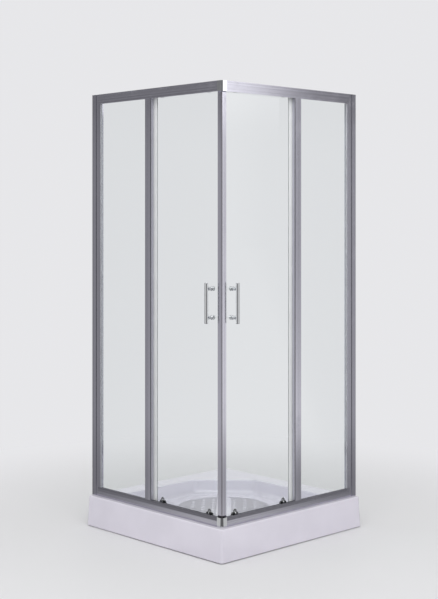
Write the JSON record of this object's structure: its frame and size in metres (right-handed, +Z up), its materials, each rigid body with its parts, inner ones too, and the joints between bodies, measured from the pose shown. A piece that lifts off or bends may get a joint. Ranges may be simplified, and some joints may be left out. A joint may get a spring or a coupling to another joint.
{
  "type": "corner shower enclosure",
  "caption": "Square corner shower enclosure: white tray on feet, chromed frame, fixed glass panes and sliding glass doors on wheels that meet at the corner, bar handles and a domed waste.",
  "frame": {"origin": "on the floor, under the middle of the square tray", "axes": "+Z up; the room's walls stand at -X and +Y; the entry corner points to +X and -Y"},
  "size_m": [0.9, 0.9, 2],
  "materials": {
    "white_acrylic": "glossy white moulded sheet",
    "polished_aluminium": "bright polished extrusion",
    "chrome": "mirror chrome",
    "clear_glass": "clear tempered glass",
    "zinc_steel": "zinc plated steel",
    "black_rubber": "soft black rubber",
    "clear_seal": "soft translucent plastic",
    "magnet_strip": "grey strip over a magnet",
    "roller_grey": "dark grey moulded plastic",
    "wheel_white": "hard white plastic",
    "waste_plastic": "white moulded plastic",
    "foot_black": "black moulded plastic"
  },
  "bodies": {
    "frame": {"shower_tray": "white_acrylic", "tray_long_tubes": "zinc_steel", "tray_cross_tubes": "zinc_steel", "foot_pads": "foot_black", "foot_rods": "zinc_steel", "foot_nuts": "zinc_steel", "waste_flange": "chrome", "trap_gasket": "black_rubber", "waste_trap": "waste_plastic", "waste_dip_tube": "waste_plastic", "top_corner_connector": "chrome", "bottom_corner_connector": "chrome", "upright_screws": "zinc_steel", "left_wall_channel": "polished_aluminium", "left_side_upright": "polished_aluminium", "left_top_rail": "polished_aluminium", "left_bottom_rail": "polished_aluminium", "left_fixed_glass": "clear_glass", "left_glazing_gasket": "black_rubber", "left_meeting_profile": "polished_aluminium", "left_door_stops": "black_rubber", "right_wall_channel": "polished_aluminium", "right_side_upright": "polished_aluminium", "right_top_rail": "polished_aluminium", "right_bottom_rail": "polished_aluminium", "right_fixed_glass": "clear_glass", "right_glazing_gasket": "black_rubber", "right_meeting_profile": "polished_aluminium", "right_door_stops": "black_rubber"},
    "waste_cover": {"waste_cover": "chrome"},
    "left_door": {"left_door_glass": "clear_glass", "left_door_stile": "polished_aluminium", "left_door_magnet": "magnet_strip", "left_door_edge_seal": "clear_seal", "left_handle": "chrome", "left_handle_washers": "clear_seal", "left_handle_caps": "chrome", "left_top_brackets": "zinc_steel", "left_roller_housings": "roller_grey"},
    "left_top_wheel_front": {"left_top_wheel_front": "wheel_white"},
    "left_release_yoke_front": {"left_release_yoke_front": "roller_grey"},
    "left_bottom_wheel_front": {"left_bottom_wheel_front": "wheel_white"},
    "left_top_wheel_rear": {"left_top_wheel_rear": "wheel_white"},
    "left_release_yoke_rear": {"left_release_yoke_rear": "roller_grey"},
    "left_bottom_wheel_rear": {"left_bottom_wheel_rear": "wheel_white"},
    "right_door": {"right_door_glass": "clear_glass", "right_door_stile": "polished_aluminium", "right_door_magnet": "magnet_strip", "right_door_edge_seal": "clear_seal", "right_handle": "chrome", "right_handle_washers": "clear_seal", "right_handle_caps": "chrome", "right_top_brackets": "zinc_steel", "right_roller_housings": "roller_grey"},
    "right_top_wheel_front": {"right_top_wheel_front": "wheel_white"},
    "right_release_yoke_front": {"right_release_yoke_front": "roller_grey"},
    "right_bottom_wheel_front": {"right_bottom_wheel_front": "wheel_white"},
    "right_top_wheel_rear": {"right_top_wheel_rear": "wheel_white"},
    "right_release_yoke_rear": {"right_release_yoke_rear": "roller_grey"},
    "right_bottom_wheel_rear": {"right_bottom_wheel_rear": "wheel_white"}
  },
  "joints": [
    {"name": "waste_cover_lift", "type": "slide", "parent": "frame", "child": "waste_cover", "axis": [0, 0, 1], "range_m": [0, 0.03]},
    {"name": "left_door_slide", "type": "slide", "parent": "frame", "child": "left_door", "axis": [-1, 0, 0], "range_m": [0, 0.35]},
    {"name": "left_top_wheel_front_spin", "type": "hinge", "parent": "left_door", "child": "left_top_wheel_front", "pos_m": [0.315, -0.383, 1.984], "axis": [0, -1, 0], "continuous": true},
    {"name": "left_release_yoke_front_press", "type": "slide", "parent": "left_door", "child": "left_release_yoke_front", "axis": [0, 0, -1], "range_m": [0, 0.004], "stiffness_N_per_m": 400, "springref_m": -0.005},
    {"name": "left_bottom_wheel_front_spin", "type": "hinge", "parent": "left_release_yoke_front", "child": "left_bottom_wheel_front", "pos_m": [0.315, -0.383, 0.1565], "axis": [0, 1, 0], "continuous": true},
    {"name": "left_top_wheel_rear_spin", "type": "hinge", "parent": "left_door", "child": "left_top_wheel_rear", "pos_m": [0.017, -0.383, 1.984], "axis": [0, -1, 0], "continuous": true},
    {"name": "left_release_yoke_rear_press", "type": "slide", "parent": "left_door", "child": "left_release_yoke_rear", "axis": [0, 0, -1], "range_m": [0, 0.004], "stiffness_N_per_m": 400, "springref_m": -0.005},
    {"name": "left_bottom_wheel_rear_spin", "type": "hinge", "parent": "left_release_yoke_rear", "child": "left_bottom_wheel_rear", "pos_m": [0.017, -0.383, 0.1565], "axis": [0, 1, 0], "continuous": true},
    {"name": "right_door_slide", "type": "slide", "parent": "frame", "child": "right_door", "axis": [0, 1, 0], "range_m": [0, 0.35]},
    {"name": "right_top_wheel_front_spin", "type": "hinge", "parent": "right_door", "child": "right_top_wheel_front", "pos_m": [0.383, -0.315, 1.984], "axis": [-1, 0, 0], "continuous": true},
    {"name": "right_release_yoke_front_press", "type": "slide", "parent": "right_door", "child": "right_release_yoke_front", "axis": [0, 0, -1], "range_m": [0, 0.004], "stiffness_N_per_m": 400, "springref_m": -0.005},
    {"name": "right_bottom_wheel_front_spin", "type": "hinge", "parent": "right_release_yoke_front", "child": "right_bottom_wheel_front", "pos_m": [0.383, -0.315, 0.1565], "axis": [1, 0, 0], "continuous": true},
    {"name": "right_top_wheel_rear_spin", "type": "hinge", "parent": "right_door", "child": "right_top_wheel_rear", "pos_m": [0.383, -0.017, 1.984], "axis": [-1, 0, 0], "continuous": true},
    {"name": "right_release_yoke_rear_press", "type": "slide", "parent": "right_door", "child": "right_release_yoke_rear", "axis": [0, 0, -1], "range_m": [0, 0.004], "stiffness_N_per_m": 400, "springref_m": -0.005},
    {"name": "right_bottom_wheel_rear_spin", "type": "hinge", "parent": "right_release_yoke_rear", "child": "right_bottom_wheel_rear", "pos_m": [0.383, -0.017, 0.1565], "axis": [1, 0, 0], "continuous": true}
  ],
  "couplings": [
    {"joint": "left_top_wheel_front_spin", "follows": "left_door_slide", "rad_per_m": 121.95},
    {"joint": "left_bottom_wheel_front_spin", "follows": "left_door_slide", "rad_per_m": 121.95},
    {"joint": "left_top_wheel_rear_spin", "follows": "left_door_slide", "rad_per_m": 121.95},
    {"joint": "left_bottom_wheel_rear_spin", "follows": "left_door_slide", "rad_per_m": 121.95},
    {"joint": "right_top_wheel_front_spin", "follows": "right_door_slide", "rad_per_m": 121.95},
    {"joint": "right_bottom_wheel_front_spin", "follows": "right_door_slide", "rad_per_m": 121.95},
    {"joint": "right_top_wheel_rear_spin", "follows": "right_door_slide", "rad_per_m": 121.95},
    {"joint": "right_bottom_wheel_rear_spin", "follows": "right_door_slide", "rad_per_m": 121.95}
  ]
}
